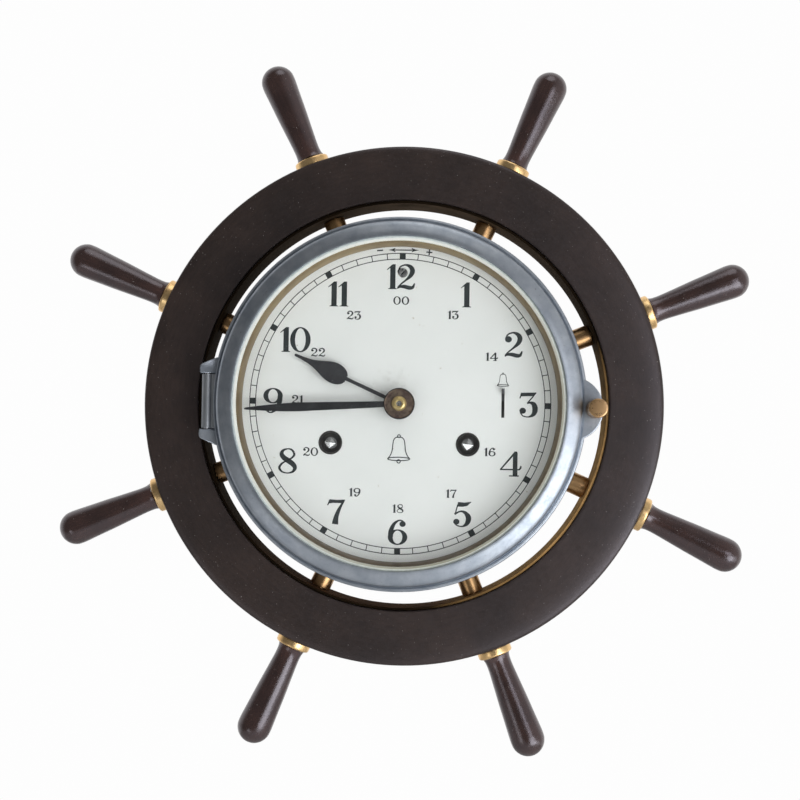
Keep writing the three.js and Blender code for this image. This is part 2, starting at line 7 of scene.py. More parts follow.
import bmesh
import bpy
from mathutils import Matrix, Vector
from mathutils.geometry import tessellate_polygon


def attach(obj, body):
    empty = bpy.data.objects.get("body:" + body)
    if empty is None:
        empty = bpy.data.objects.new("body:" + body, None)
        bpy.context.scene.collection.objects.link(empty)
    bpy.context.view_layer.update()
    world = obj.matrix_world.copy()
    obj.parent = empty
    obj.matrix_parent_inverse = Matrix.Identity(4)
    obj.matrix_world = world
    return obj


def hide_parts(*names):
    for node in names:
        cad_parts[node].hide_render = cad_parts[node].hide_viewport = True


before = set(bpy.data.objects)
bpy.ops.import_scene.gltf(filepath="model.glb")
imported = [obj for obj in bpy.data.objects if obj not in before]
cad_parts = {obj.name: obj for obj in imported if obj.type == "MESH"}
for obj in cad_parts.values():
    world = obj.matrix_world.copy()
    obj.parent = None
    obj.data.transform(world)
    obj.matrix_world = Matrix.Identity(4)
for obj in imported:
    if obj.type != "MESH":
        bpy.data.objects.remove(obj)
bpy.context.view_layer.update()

scene = bpy.context.scene
scene.view_settings.view_transform = "Standard"

MM = 0.001
FACE = Matrix(((1, 0, 0, 0), (0, 0, -1, 0), (0, 1, 0, 0), (0, 0, 0, 1)))  # from the face frame to the world


def turn(degrees, axis="Z"):
    """A turn about an axis."""
    return Matrix.Rotation(math.radians(degrees), 4, axis)


def shift(x, y, z):
    """A shift given in millimetres."""
    return Matrix.Translation((x * MM, y * MM, z * MM))


WHEEL_X, WHEEL_TURN = 1.5, 1.4  # the wheel stands a little right of the dial's centre, turned clockwise
WHEEL = FACE @ shift(WHEEL_X, 0, 0) @ turn(-WHEEL_TURN)


# shapes

CORNER_STEPS = 5
EDGE_FLAT = 0.06  # width of the flat strip behind a rounded edge
RING = 192  # segments of a large ring


def rounded(points):
    """Closed profile; a point with a third number has its corner rounded off over that length."""
    out = []
    for i, p in enumerate(points):
        here = Vector(p[:2])
        if len(p) < 3:
            out.append(here)
            continue
        before = Vector(points[i - 1][:2])
        after = Vector(points[(i + 1) % len(points)][:2])
        a = here + (before - here).normalized() * p[2]
        b = here + (after - here).normalized() * p[2]
        for k in range(CORNER_STEPS + 1):
            t = k / CORNER_STEPS
            out.append(a.lerp(here, t).lerp(here.lerp(b, t), t))
    return out


def smooth(points, steps):
    """A Catmull-Rom curve through points of any dimension."""
    pts = [Vector(p) for p in points]
    pts = [2 * pts[0] - pts[1]] + pts + [2 * pts[-1] - pts[-2]]
    out = []
    for a, b, c, d in zip(pts, pts[1:], pts[2:], pts[3:]):
        for k in range(steps):
            t = k / steps
            out.append(0.5 * (2 * b + (c - a) * t + (2 * a - 5 * b + 4 * c - d) * t ** 2
                              + (3 * b - a - 3 * c + d) * t ** 3))
    return out + [pts[-2]]


def circle(radius, x=0.0, y=0.0, count=48):
    """Points of a circle, counter-clockwise."""
    return [(x + radius * math.cos(2 * math.pi * k / count), y + radius * math.sin(2 * math.pi * k / count))
            for k in range(count)]


def arc(radius, start, sweep, steps, y=0.0):
    """Points of an arc about (0, y); its angles are in degrees."""
    angles = [math.radians(start + sweep * k / steps) for k in range(steps + 1)]
    return [(radius * math.cos(a), y + radius * math.sin(a)) for a in angles]


def revolve(profile, segments, closed=True):
    """A profile of (radius, z) turned about the z axis."""
    verts, faces, rings = [], [], []
    for r, z in profile:
        start = len(verts)
        if r < 1e-6:
            rings.append([start] * segments)
            verts.append((0, 0, z))
        else:
            rings.append(range(start, start + segments))
            verts += [(x, y, z) for x, y in circle(r, count=segments)]
    pairs = list(zip(rings, rings[1:])) + ([(rings[-1], rings[0])] if closed else [])
    for a, b in pairs:
        for k in range(segments):
            m = (k + 1) % segments
            face = list(dict.fromkeys((a[k], a[m], b[m], b[k])))
            if len(face) > 2:
                faces.append(face)
    return verts, faces


def moved(shape, matrix):
    """A shape carried by a matrix whose shift is in metres."""
    return [tuple(matrix @ (Vector(v) * MM) / MM) for v in shape[0]], shape[1]


def inset(outline, amount):
    """A counter-clockwise outline drawn in by an amount."""
    out = []
    n = len(outline)
    for i, p in enumerate(outline):
        a = (Vector(p) - Vector(outline[i - 1])).normalized()
        b = (Vector(outline[(i + 1) % n]) - Vector(p)).normalized()
        normal = Vector((-(a.y + b.y), a.x + b.x))
        length = max(normal.length, 0.6)  # a sharp corner moves no further than this allows
        out.append(tuple(Vector(p) + normal / length * amount * 2 / length))
    return out


def plate(outline, low, high, edge=0.0, holes=()):
    """A counter-clockwise outline with holes, from low to high, its front edge rounded."""
    loops = [list(outline)] + [list(h) for h in holes]
    straight = [(low, 0.0), (high, 0.0)]
    soft = [(low, 0.0), (high - edge, 0.0), (high - 0.3 * edge, 0.3 * edge), (high, edge),
            (high, edge + EDGE_FLAT)]
    verts, faces, ends = [], [], ([], [])
    for number, loop in enumerate(loops):
        n = len(loop)
        rings = []
        for z, amount in (soft if edge and number == 0 else straight):
            rings.append(range(len(verts), len(verts) + n))
            verts += [(x, y, z) for x, y in (inset(loop, amount) if amount else loop)]
        for a, b in zip(rings, rings[1:]):
            faces += [[a[k], a[(k + 1) % n], b[(k + 1) % n], b[k]] for k in range(n)]
        ends[0].extend(rings[0])
        ends[1].extend(rings[-1])
    sizes = [len(loop) for loop in loops]
    for order in ends:
        flat = [[Vector(verts[order[sum(sizes[:k]) + m]][:2]).to_3d() for m in range(size)]
                for k, size in enumerate(sizes)]
        faces += [[order[m] for m in tri] for tri in tessellate_polygon(flat)]
    return verts, faces


def piece(name, shapes, material, body, nodes=(), place=FACE, sharp=32):
    """One object from shapes; it rides on a body and stands for the CAD nodes named."""
    verts, faces = [], []
    for v, f in shapes:
        start = len(verts)
        verts += [(x * MM, y * MM, z * MM) for x, y, z in v]
        faces += [[start + i for i in face] for face in f]
    mesh = bpy.data.meshes.new(name)
    mesh.from_pydata(verts, [], faces)
    bm = bmesh.new()
    bm.from_mesh(mesh)
    bmesh.ops.recalc_face_normals(bm, faces=bm.faces)
    bm.to_mesh(mesh)
    bm.free()
    mesh.shade_smooth()
    mesh.set_sharp_from_angle(angle=math.radians(sharp))
    mesh.materials.append(material)
    obj = bpy.data.objects.new(name, mesh)
    scene.collection.objects.link(obj)
    obj.matrix_world = place
    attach(obj, body)
    if nodes:
        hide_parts(*nodes)


# finishes; their coordinates are in metres


def add_node(tree, kind, links=None, **values):
    """A new node; links holds the sockets to join and the constants to set."""
    made = tree.nodes.new(kind)
    for key, value in values.items():
        setattr(made, key, value)
    for key, source in (links or {}).items():
        socket = made.inputs[key]
        if isinstance(source, bpy.types.NodeSocket):
            tree.links.new(source, socket)
        else:
            socket.default_value = source
    return made


class Finish:
    """A Principled material with a few node helpers."""

    def __init__(self, name, rough=0.4, metal=0.0, **sockets):
        self.material = bpy.data.materials.new(name)
        self.material.use_nodes = True
        self.tree = self.material.node_tree
        self.shader = self.tree.nodes["Principled BSDF"]
        self.shader.inputs["Roughness"].default_value = rough
        self.shader.inputs["Metallic"].default_value = metal
        for key, value in sockets.items():
            self.shader.inputs[key.replace("_", " ")].default_value = value
        self.coords = self.node("ShaderNodeTexCoord").outputs["Object"]

    def node(self, kind, links=None, **values):
        """A new node of this material."""
        return add_node(self.tree, kind, links, **values)

    def stretched(self, x, y, z, source=None):
        """Coordinates scaled along each axis."""
        made = self.node("ShaderNodeMapping", {"Vector": source or self.coords, "Scale": (x, y, z)})
        return made.outputs["Vector"]

    def polar(self):
        """Radius, angle and depth, for grain that follows a ring."""
        parts = self.node("ShaderNodeSeparateXYZ", {"Vector": self.coords}).outputs
        angle = self.node("ShaderNodeMath", {0: parts["Y"], 1: parts["X"]}, operation="ARCTAN2").outputs[0]
        flat = self.node("ShaderNodeCombineXYZ", {"X": parts["X"], "Y": parts["Y"]}).outputs[0]
        radius = self.node("ShaderNodeVectorMath", {0: flat}, operation="LENGTH").outputs["Value"]
        return self.node("ShaderNodeCombineXYZ", {"X": radius, "Y": angle, "Z": parts["Z"]}).outputs[0]

    def part(self, axis, source=None):
        """One part of the coordinates."""
        return self.node("ShaderNodeSeparateXYZ", {"Vector": source or self.coords}).outputs[axis]

    def span(self, source, start, end, low=0.0, high=1.0):
        """Low to high as the source goes from start to end."""
        made = self.node("ShaderNodeMapRange", {"Value": source, "From Min": start, "From Max": end,
                                                "To Min": low, "To Max": high})
        return made.outputs[0]

    def noise(self, scale, detail, rough=0.6, source=None):
        """Grey noise; the scale is per metre."""
        made = self.node("ShaderNodeTexNoise", {"Vector": source or self.coords, "Scale": scale,
                                                "Detail": detail, "Roughness": rough})
        return made.outputs["Fac"]

    def ramp(self, source, *stops):
        """A grey ramp between two stops of (place, value)."""
        made = self.node("ShaderNodeValToRGB", {"Fac": source})
        for element, (place, value) in zip(made.color_ramp.elements, stops):
            element.position = place
            element.color = (value, value, value, 1)
        return made.outputs["Color"]

    def mix(self, factor, a, b, blend="MIX"):
        """One colour over another; each is a socket or a constant."""
        a, b = ((*c, 1) if isinstance(c, tuple) else c for c in (a, b))
        made = self.node("ShaderNodeMix", {0: factor, 6: a, 7: b}, data_type="RGBA", blend_type=blend)
        return made.outputs[2]

    def feed(self, socket, source):
        """Join a source to a socket of the shader."""
        self.tree.links.new(source, self.shader.inputs[socket])

    def over(self, factor, other):
        """Lay another shader over this one."""
        both = self.node("ShaderNodeMixShader", {0: factor, 1: self.shader.outputs[0], 2: other})
        self.tree.links.new(both.outputs[0], self.tree.nodes["Material Output"].inputs["Surface"])

    def bump(self, source, strength, distance):
        """Relief of a depth in millimetres."""
        made = self.node("ShaderNodeBump", {"Height": source, "Strength": strength, "Distance": distance * MM})
        self.feed("Normal", made.outputs["Normal"])


def wood(name, dark, light, ring, shine, rough, pores):
    """Dark lacquered wood: soft clouds, faint grain, open pores, fine scratches and a few pale specks."""
    f = Finish(name, Specular_IOR_Level=shine, Specular_Tint=(0.96, 0.91, 1.0, 1))
    grain_space = f.stretched(900, 16, 900, f.polar()) if ring else f.stretched(900, 900, 60)
    grain = f.noise(1.0, 6.0, 0.65, grain_space)
    clouds = f.noise(24, 4.0, 0.6)
    colour = f.mix(f.ramp(clouds, (0.34, 0.0), (0.66, 1.0)), dark, light)
    colour = f.mix(f.ramp(grain, (0.42, 0.0), (0.74, 0.5)), colour, tuple(c * 0.6 for c in dark))
    scratch_space = f.stretched(260, 2600, 260, f.polar()) if ring else f.stretched(2600, 2600, 260)
    scratch = f.ramp(f.noise(1.0, 2.0, 0.5, scratch_space), (0.70, 0.0), (0.76, 0.35))
    colour = f.mix(scratch, colour, tuple(c * 3.2 + 0.02 for c in light))
    specks = f.ramp(f.noise(1500, 1.0, 0.4), (0.755, 0.0), (0.79, 0.6))
    colour = f.mix(specks, colour, (0.36, 0.33, 0.31))
    f.feed("Base Color", colour)
    f.feed("Roughness", f.ramp(f.noise(700, 3.0, 0.6), (0.3, rough - 0.05), (0.7, rough + 0.07)))
    pore_space = f.stretched(800, 800, 400) if ring else f.stretched(1500, 1500, 500)
    f.bump(f.noise(1.0, 4.0, 0.75, pore_space), 1.0, pores)
    return f.material


def metal(name, dark, light, rough, spots=None, pitted=0.66, cloud=45, edge=None):
    """Worn metal: clouded colour, fine pits and uneven gloss, near black beyond the radius of an edge."""
    f = Finish(name, rough=rough, metal=1.0)
    clouds = f.noise(cloud, 5.0, 0.65)
    fine = f.noise(900, 3.0, 0.6)
    colour = f.mix(f.ramp(clouds, (0.34, 0.0), (0.66, 1.0)), dark, light)
    if spots:
        pits = f.ramp(f.noise(700, 2.0, 0.5), (pitted, 0.0), (pitted + 0.07, 0.8))
        colour = f.mix(pits, colour, spots)
    if edge:
        black = f.span(f.part("X", f.polar()), edge * MM, (edge + 0.3) * MM)
        colour = f.mix(black, colour, (0.03, 0.03, 0.032))
    f.feed("Base Color", colour)
    f.feed("Roughness", f.ramp(fine, (0.3, rough - 0.05), (0.7, rough + 0.08)))
    f.bump(fine, 0.12, 0.03)
    return f.material


RIM_WOOD = wood("rim_wood", (0.0192, 0.0127, 0.0095), (0.0375, 0.0234, 0.0172), ring=True, shine=0.58,
                rough=0.37, pores=0.02)
HANDLE_WOOD = wood("handle_wood", (0.021, 0.0115, 0.0095), (0.068, 0.034, 0.027), ring=False, shine=0.9,
                   rough=0.14, pores=0.07)
FERRULE_BRASS = metal("ferrule_brass", (0.80, 0.50, 0.22), (0.96, 0.68, 0.34), 0.31, (0.3, 0.17, 0.06))
SPOKE_BRASS = metal("spoke_brass", (0.36, 0.20, 0.09), (0.52, 0.33, 0.16), 0.30, (0.16, 0.08, 0.03))
KNOB_BRASS = metal("knob_brass", (0.52, 0.31, 0.15), (0.64, 0.41, 0.21), 0.30, (0.72, 0.55, 0.34), pitted=0.72)
NUT_BRASS = metal("nut_brass", (0.64, 0.48, 0.20), (0.78, 0.61, 0.30), 0.34)
MOVEMENT_BRASS = metal("movement_brass", (0.50, 0.34, 0.12), (0.62, 0.44, 0.17), 0.34)
NICKEL = metal("dulled_nickel", (0.325, 0.362, 0.415), (0.455, 0.49, 0.535), 0.41, (0.26, 0.28, 0.30),
               pitted=0.69, cloud=110)
HINGE_NICKEL = metal("hinge_nickel", (0.34, 0.36, 0.385), (0.42, 0.44, 0.46), 0.5, (0.24, 0.25, 0.26),
                     pitted=0.68)
BACK_NICKEL = metal("back_nickel", (0.22, 0.235, 0.26), (0.30, 0.32, 0.345), 0.36, (0.11, 0.115, 0.12))
STEEL = metal("bright_steel", (0.42, 0.42, 0.43), (0.60, 0.60, 0.61), 0.26, (0.2, 0.2, 0.2))
SQUARE_STEEL = metal("polished_steel", (0.62, 0.62, 0.63), (0.74, 0.74, 0.75), 0.18)
LEVER_STEEL = metal("greyed_steel", (0.12, 0.12, 0.125), (0.2, 0.2, 0.205), 0.4)
REGULATOR_STEEL = metal("dull_steel", (0.30, 0.30, 0.30), (0.5, 0.5, 0.5), 0.34, (0.12, 0.12, 0.12),
                        pitted=0.6)
COLLET_BRONZE = metal("browned_bronze", (0.10, 0.068, 0.062), (0.27, 0.20, 0.145), 0.42, (0.05, 0.035, 0.035),
                      pitted=0.64, cloud=330, edge=6.5)
BELL_METAL = metal("bell_bronze", (0.46, 0.33, 0.15), (0.56, 0.42, 0.2), 0.3)


def reflector():
    """The ring behind the glass: brass with tarnish clouds, darker towards the bottom."""
    f = Finish("tarnished_brass", rough=0.45, metal=0.35)
    clouds = f.noise(60, 5.0, 0.65)
    height = f.span(f.part("Y"), -0.075, 0.075)
    colour = f.mix(height, (0.06, 0.038, 0.016), (0.33, 0.245, 0.125))
    colour = f.mix(f.ramp(clouds, (0.4, 0.0), (0.75, 0.7)), colour, (0.12, 0.07, 0.025))
    f.feed("Base Color", colour)
    f.bump(f.noise(800, 3.0), 0.1, 0.03)
    return f.material


def liner():
    """The rim's lining: brown brass with darker clouds; paler at the top, redder at the foot and golden along the
    lower right, all painted reflection, and near black at its front edge, painted shade.
    """
    f = Finish("brown_brass_painted_light", rough=0.6, metal=0.12, Specular_IOR_Level=0.0)
    clouds = f.noise(70, 5.0, 0.65)

    def towards(clockwise, start, end):
        """How far a point lies in a clock direction, from 0 at one distance to 1 at another."""
        a = math.radians(clockwise)
        reach = f.node("ShaderNodeVectorMath", {0: f.coords, 1: (math.sin(a), math.cos(a), 0)},
                       operation="DOT_PRODUCT").outputs["Value"]
        return f.span(reach, start, end)

    # painted reflection: paler towards the top and redder towards the foot, for what the brass mirrors
    colour = f.mix(towards(5, 0.05, 0.094), (0.062, 0.041, 0.022), (0.17, 0.115, 0.07))
    colour = f.mix(towards(178, 0.055, 0.09), colour, (0.16, 0.082, 0.042))
    # painted shade: near black at the front edge, for the shadow in the gap beside the wood
    front_edge_shade = f.span(f.part("Z"), 0.0455, 0.0460)
    colour = f.mix(front_edge_shade, colour, (0.012, 0.008, 0.005))
    # painted reflection: golden along the lower right, where the brass mirrors a brightly lit backdrop
    colour = f.mix(towards(120, 0.06, 0.092), colour, (0.72, 0.42, 0.16))
    colour = f.mix(f.ramp(clouds, (0.4, 0.0), (0.75, 0.6)), colour, (0.03, 0.018, 0.009))
    f.feed("Base Color", colour)
    f.bump(f.noise(900, 3.0), 0.1, 0.03)
    return f.material


def dial_white():
    """Silvered white dial: faint clouds, a grey smudge by the hands and a few specks."""
    f = Finish("silvered_white", rough=0.5)
    clouds = f.noise(22, 5.0, 0.6)
    colour = f.mix(f.ramp(clouds, (0.3, 0.0), (0.7, 1.0)), (0.806, 0.816, 0.794), (0.868, 0.872, 0.852))
    reach = f.node("ShaderNodeVectorMath", {0: f.coords, 1: (-0.004, 0.004, 0.055)}, operation="DISTANCE")
    smudge = f.span(reach.outputs["Value"], 0.006, 0.017, 1.0, 0.0)
    worn = f.mix(1.0, smudge, f.ramp(f.noise(260, 6.0, 0.75), (0.5, 0.0), (0.8, 0.55)), "MULTIPLY")
    colour = f.mix(worn, colour, (0.36, 0.35, 0.31))
    specks = f.ramp(f.noise(620, 1.0, 0.4), (0.765, 0.0), (0.80, 0.55))
    colour = f.mix(specks, colour, (0.42, 0.36, 0.24))
    f.feed("Base Color", colour)
    f.bump(f.noise(1400, 2.0), 0.03, 0.02)
    return f.material


def black_paint(name, dark, light, rough, dust):
    """Black paint or ink, a little clouded, with specks of dust."""
    f = Finish(name, rough=rough, Specular_IOR_Level=0.2)
    colour = f.mix(f.ramp(f.noise(120, 5.0, 0.7), (0.35, 0.0), (0.7, 1.0)), dark, light)
    specks = f.ramp(f.noise(1900, 1.0, 0.4), (0.70, 0.0), (0.76, dust))
    colour = f.mix(specks, colour, (0.40, 0.40, 0.40))
    f.feed("Base Color", colour)
    f.bump(f.noise(900, 3.0), 0.06, 0.02)
    return f.material


BEVEL_R, BEVEL_EDGE_R = 73.5, 74.3  # where the glass's facet and its green edge begin


def clear_glass():
    """Clear glass with a ground bevel: a cream facet and a pale green edge, partly the ground glass's own colour
    and partly painted light refracted through the bevel, with painted shade towards the lower right.
    """
    f = Finish("bevelled_glass", IOR=1.5)
    radius = f.part("X", f.polar())
    # painted light and shade: the bevel is paler towards the upper left and duller towards the lower right
    across = f.node("ShaderNodeMath", {0: f.part("Y"), 1: f.part("X")}, operation="SUBTRACT").outputs[0]
    lit = f.span(across, -0.09, 0.06)

    def at_bevel(low, high):
        """One value on the clear glass, another on its bevel."""
        return f.span(radius, BEVEL_R * MM, (BEVEL_R + 0.1) * MM, low, high)

    speckle = f.ramp(f.noise(420, 5.0, 0.7), (0.45, 0.0), (0.75, 0.45))
    # the facet's cream and the edge's pale green are partly ground glass and partly painted light refracted
    # through the bevel; the edge is painted lighter where the bezel's lip shades it
    facet = f.mix(lit, (0.30, 0.29, 0.21), (0.96, 0.96, 0.89))
    rim = f.mix(lit, (0.72, 0.75, 0.67), (0.93, 0.98, 0.94))
    rim = f.mix(speckle, rim, (0.33, 0.38, 0.35))
    ground = f.mix(f.span(radius, BEVEL_EDGE_R * MM, (BEVEL_EDGE_R + 0.3) * MM), facet, rim)
    f.feed("Base Color", f.mix(at_bevel(0.0, 1.0), (0.985, 1.0, 0.99), ground))
    f.feed("Transmission Weight", at_bevel(1.0, 0.12))
    f.feed("Roughness", at_bevel(0.0, 0.4))
    shadow_ray = f.node("ShaderNodeLightPath").outputs["Is Shadow Ray"]
    f.over(shadow_ray, f.node("ShaderNodeBsdfTransparent").outputs[0])
    return f.material


TARNISH = reflector()
LINER_BRASS = liner()
DIAL_WHITE = dial_white()
INK = black_paint("dial_ink", (0.020, 0.025, 0.027), (0.036, 0.043, 0.046), 0.5, 0.12)
HAND_BLACK = black_paint("hand_black", (0.011, 0.012, 0.014), (0.028, 0.029, 0.032), 0.4, 0.3)
HOUR_BLACK = black_paint("hour_hand_black", (0.024, 0.024, 0.027), (0.05, 0.05, 0.055), 0.4, 0.35)
# the dark of the winding holes' linings, and painted shade in the holes and behind the lever's slot
LINING_AND_PAINTED_SHADE = black_paint("lining_and_painted_shade", (0.033, 0.031, 0.030), (0.07, 0.066, 0.062), 0.5, 0.35)
GLASS = clear_glass()

SOLID_FINISHES = (
    (STEEL, ("back_screw_1", "back_screw_2", "back_screw_3", "screw_clip", "centre_arbor", "star_wheel", "hammer",
             "bell_post")),
    (LEVER_STEEL, ("strike_lever",)),
    (MOVEMENT_BRASS, ("front_plate", "rear_plate", "time_barrel", "strike_barrel", "second_wheel", "minute_wheel",
                      "hour_wheel", "platform")),
    (NUT_BRASS, ("balance_wheel",)),
    (BELL_METAL, ("bell",)),
)
for finish, nodes in SOLID_FINISHES:
    for node in nodes:
        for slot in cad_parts[node].material_slots:
            slot.material = finish

# wheel

RIM_IN, RIM_OUT, RIM_BACK, RIM_FRONT = 95.5, 120.85, 22, 48
CROWN = smooth([(RIM_OUT, 45.4), (120.65, 46.2), (120.1, 46.8), (119.1, 47.2), (117, 47.55), (113, 47.85),
                (106, RIM_FRONT), (97, RIM_FRONT)], 4)
RIM = rounded([(RIM_IN, RIM_BACK, 0.6), (RIM_OUT, RIM_BACK, 2.2)] + [tuple(p) for p in CROWN]
              + [(RIM_IN, RIM_FRONT, 0.7)])
LINER = rounded([(94.2, 22.5, 0.2), (95.2, 22.5), (95.2, 46.2), (94.2, 46.2, 0.3)])
piece("rim_turned", [revolve(RIM, RING)], RIM_WOOD, "case", ["wheel_rim"], WHEEL)
piece("liner_turned", [revolve(LINER, RING)], LINER_BRASS, "case", ["rim_liner"], WHEEL)

FOOT, FOOT_R, TIP = 125, 6.4, 173.3
BORE_R, BORE_END = 4.2, 150.5
DOME_Y, DOME_RISE, DOME_R = 165.4, 7.9, 7.93
DOME = [(DOME_R * math.cos(a), DOME_Y + DOME_RISE * math.sin(a))
        for a in (math.radians(10 * k) for k in range(1, 9))]
HANDLE = [Vector((BORE_R, BORE_END)), Vector((BORE_R, FOOT))] + smooth(
    [(FOOT_R, FOOT), (5.95, 126.6), (5.8, 129), (5.9, 132), (6.16, 135.8), (6.42, 139.6), (6.97, 147.1),
     (7.4, 154.6), (7.86, 162.2), (7.94, 164.6)] + DOME + [(0, TIP)], 4)
FERRULE = rounded([(2.8, 121.05), (8.05, 121.05, 0.6), (8.05, 124.7, 1.1), (2.8, 124.7)])
SPOKE_R, SPOKE_START, SPOKE_END = 5, 82.35, 93.6
STUD_R, STUD_END = 2.5, 149.5
ARM_Z = 35
OUTWARD = turn(-90, "X")
# each arm as the photo shows it: degrees clockwise, degrees of the handle's lean, its extra length
ARM_SHIFT = (0, -0.5, -0.15, 0, 0.2, 0.3, 0.1, -0.45)
HANDLE_LEAN = (0.2, 0.4, 1.7, -0.4, 0.2, -1.9, -1.1, -2.1)
HANDLE_EXTRA = (-0.5, -0.4, 0.1, 1.1, 0.7, -0.6, 0, -1.1)
for arm_number, (aside, lean, extra) in enumerate(zip(ARM_SHIFT, HANDLE_LEAN, HANDLE_EXTRA), 1):
    clockwise = 45 * arm_number - 22.5 + aside
    arm = WHEEL @ turn(-clockwise) @ shift(0, 0, ARM_Z)
    lift = FOOT_R * math.sin(math.radians(abs(lean)))
    stretch = 1 + extra / (TIP - FOOT)
    grip = [(0, BORE_END - FOOT)] + [(r, (y - FOOT) * stretch) for r, y in HANDLE]
    piece(f"handle_{arm_number}_turned", [revolve(grip, 48, False)], HANDLE_WOOD, "case",
          [f"handle_{arm_number}"], arm @ shift(0, FOOT + lift, 0) @ turn(-lean) @ OUTWARD)
    piece(f"ferrule_{arm_number}_turned", [revolve(FERRULE, 64)], FERRULE_BRASS, "case",
          [f"ferrule_{arm_number}"], arm @ OUTWARD)
    start = SPOKE_START - WHEEL_X * math.sin(math.radians(clockwise + WHEEL_TURN))
    spoke = rounded([(0, start), (SPOKE_R, start, 0.3), (SPOKE_R, SPOKE_END, 0.3), (STUD_R, SPOKE_END),
                     (STUD_R, STUD_END), (0, STUD_END)])
    piece(f"spoke_{arm_number}_turned", [revolve(spoke, 40, False)], SPOKE_BRASS, "case",
          [f"spoke_{arm_number}"], arm @ OUTWARD)

# case, hinge and bezel door

EAR_X, EAR_R, EAR_ROOT = 78.0, 14.5, 0.4
LATCH_Y, KNOB_X = -1.3, 88.7
HINGE_X, HINGE_Z = -87.8, 62
PIN_R, PIN_HALF = 1.1, 17.9
BARREL_R, BARREL_HALF = 2.4, 12.3


def ear(ring, low, high, edge):
    """The part of a round ear that stands out of a ring."""
    reach = [p for p in circle(EAR_R, EAR_X, LATCH_Y, 96) if math.hypot(*p) > ring]
    reach.sort(key=lambda p: math.atan2(p[1] - LATCH_Y, p[0] - EAR_X))
    low_end, top_end = (math.atan2(p[1], p[0]) for p in (reach[0], reach[-1]))
    root = ring - EAR_ROOT
    inner = [(root * math.cos(a), root * math.sin(a))
             for a in (top_end + (low_end - top_end) * k / 12 for k in range(13))]
    return plate(reach + inner, low, high, edge)


def hinge_rod(radius, half, edge, segments):
    """An upright rod on the hinge's axis."""
    rod = rounded([(0, -half), (radius, -half, edge), (radius, half, edge), (0, half)])
    return moved(revolve(rod, segments, False), shift(HINGE_X, 0, HINGE_Z) @ OUTWARD)


def block(x0, x1, y0, y1, z0, z1, edge):
    """A block with a rounded front edge."""
    return plate([(x0, y0), (x1, y0), (x1, y1), (x0, y1)], z0, z1, edge)


DRUM = rounded([(80, 2.8), (82, 2.8, 0.4), (82, 54, 0.6), (85, 54.6, 0.6), (85.6, 56), (85.6, 62, 1.0), (80, 62),
                (80, 45.7), (74.5, 45.7), (74.5, 43), (80, 43)])
LUG = [(-90.7, 12.7), (-87.0, 12.7), (-85.5, 12.7), (-83.6, 12.7), (-82.0, 13.2), (-81.4, 20.8), (-83.4, 20.1),
       (-85.5, 19.2), (-87.0, 18.6), (-90.0, 17.2), (-90.9, 16.3), (-91.1, 15.0), (-91.0, 13.3)]
LUG_BACK, LUG_MIDDLE, LUG_FRONT = 56, 60, 64.2
SLOPE_X, SLOPE_RUN, SLOPE_FALL = -88.5, 5, 2.2


def sloped(shape):
    """A lug whose front falls away towards the case ring."""
    fall = [SLOPE_FALL * min(1, max(0, (x - SLOPE_X) / SLOPE_RUN)) for x, _, _ in shape[0]]
    return [(x, y, z - drop if z > LUG_MIDDLE else z) for (x, y, z), drop in zip(shape[0], fall)], shape[1]


LOWER_LUG = [(x, -y) for x, y in reversed(LUG)]
lugs = [sloped(plate(outline, LUG_BACK, LUG_FRONT, 0.4)) for outline in (LUG, LOWER_LUG)]
hinge_seat = block(-88.6, -82, -13, 13, LUG_BACK, 59.1, 0.2)
piece("case_drum_turned", [revolve(DRUM, RING), ear(82, 56, 62, 0.4), hinge_seat] + lugs, NICKEL, "case",
      ["case_drum"])
piece("hinge_pin_turned", [hinge_rod(PIN_R, PIN_HALF, 0.4, 24)], STEEL, "case", ["hinge_pin"])

keyhole = arc(5, 122, 296, 28, y=58) + arc(2.6, 0, 180, 12, y=67)
screw_wells = [circle(3.5, x, y, 40) for x, y in ((52, 34), (-52, 34), (0, -62))]
cover = plate(circle(82, count=160), -2.5, 0.0, 0.4, [keyhole] + screw_wells)
piece("back_cover_plate", [moved(cover, turn(180, "Y"))], BACK_NICKEL, "case", ["back_cover"])

BAND = smooth([(82.85, 67.6), (82.85, 68.4), (82.75, 69.2), (82.5, 69.95), (82.1, 70.55), (81.55, 71.02),
               (80.8, 71.43), (79.6, 71.93), (78.3, 72.43), (77.3, 72.75), (76.4, 72.95), (75.65, 73.0)], 5)
LIP = smooth([(84.5, 65.4), (84.4, 65.8), (84.15, 65.98), (83.8, 65.92), (83.5, 65.7), (83.2, 65.55),
              (82.85, 65.5)], 4)
BEZEL = [Vector(p) for p in ((77.4, 62.3), (84.25, 62.3), (84.5, 62.55))] + LIP + BAND
BEZEL += [Vector(p) for p in ((75.6, 72.9), (75.6, 70.4), (77.4, 70.4))]
barrel = hinge_rod(BARREL_R, BARREL_HALF, 0.3, 40)
strap = block(-87.6, -81, -BARREL_HALF, BARREL_HALF, 62.3, 63.1, 0.2)
piece("bezel_turned", [revolve(BEZEL, RING), ear(84, 62.3, 66, 0.5)], NICKEL, "bezel", ["bezel"])
piece("bezel_barrel", [barrel, strap], HINGE_NICKEL, "bezel")
GLASS_HALF = [(0, 69), (77, 69), (77, 69.9), (75.5, 69.9), (75.5, 71.4), (74.75, 72.05), (73.55, 72.4),
              (0, 72.4)]
piece("glass_bevelled", [revolve(GLASS_HALF, RING, False)], GLASS, "bezel", ["glass"], sharp=5)
GLASS_RING = rounded([(72.25, 56, 0.4), (74.6, 56), (74.6, 63), (77, 64), (77, 68.7), (75.3, 68.7, 0.1),
                      (73.1, 65.0)])
piece("glass_ring_turned", [revolve(GLASS_RING, RING)], TARNISH, "bezel", ["glass_ring"])
